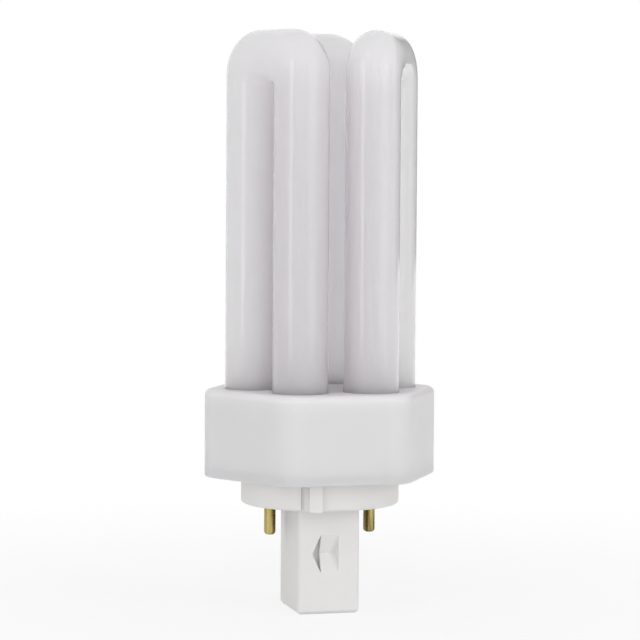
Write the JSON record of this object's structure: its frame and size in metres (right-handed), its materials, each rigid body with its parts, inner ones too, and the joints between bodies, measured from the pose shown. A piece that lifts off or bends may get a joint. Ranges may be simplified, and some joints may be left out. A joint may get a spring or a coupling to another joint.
{
  "type": "u shaped fluorescent bulb",
  "caption": "Compact fluorescent lamp: bent glass tubes in a triangle on a six-sided collar, with a round boss, brass contact pins and a rectangular plug post.",
  "frame": {"origin": "on the lamp's axis, in the lower face of the round boss, which rests on the lampholder", "axes": "+Z along the lamp's axis, towards the bends of the tubes; +X through the right contact pin; -Y towards the catch recess that faces the viewer"},
  "size_m": [0.0526, 0.0474, 0.1293],
  "materials": {
    "coated_glass": "clear glass, coated white inside, glossy",
    "cement": "matte cement",
    "collar_plastic": "white moulded plastic, satin",
    "cap_plastic": "white moulded plastic, satin",
    "pin_brass": "drawn brass, slightly tarnished",
    "starter_glass": "clear thin glass",
    "capacitor_case": "dipped resin",
    "lead_wire": "nickel-plated wire"
  },
  "bodies": {
    "root": {"discharge_tube": "coated_glass", "tube_cement": "cement", "collar": "collar_plastic", "cap": "cap_plastic", "contact_pin_left": "pin_brass", "contact_pin_right": "pin_brass", "starter_bulb": "starter_glass", "starter_capacitor": "capacitor_case", "pin_lead_left": "lead_wire", "pin_lead_right": "lead_wire", "starter_lead_left": "lead_wire", "starter_lead_right": "lead_wire", "capacitor_lead_left": "lead_wire", "capacitor_lead_right": "lead_wire"}
  },
  "joints": []
}
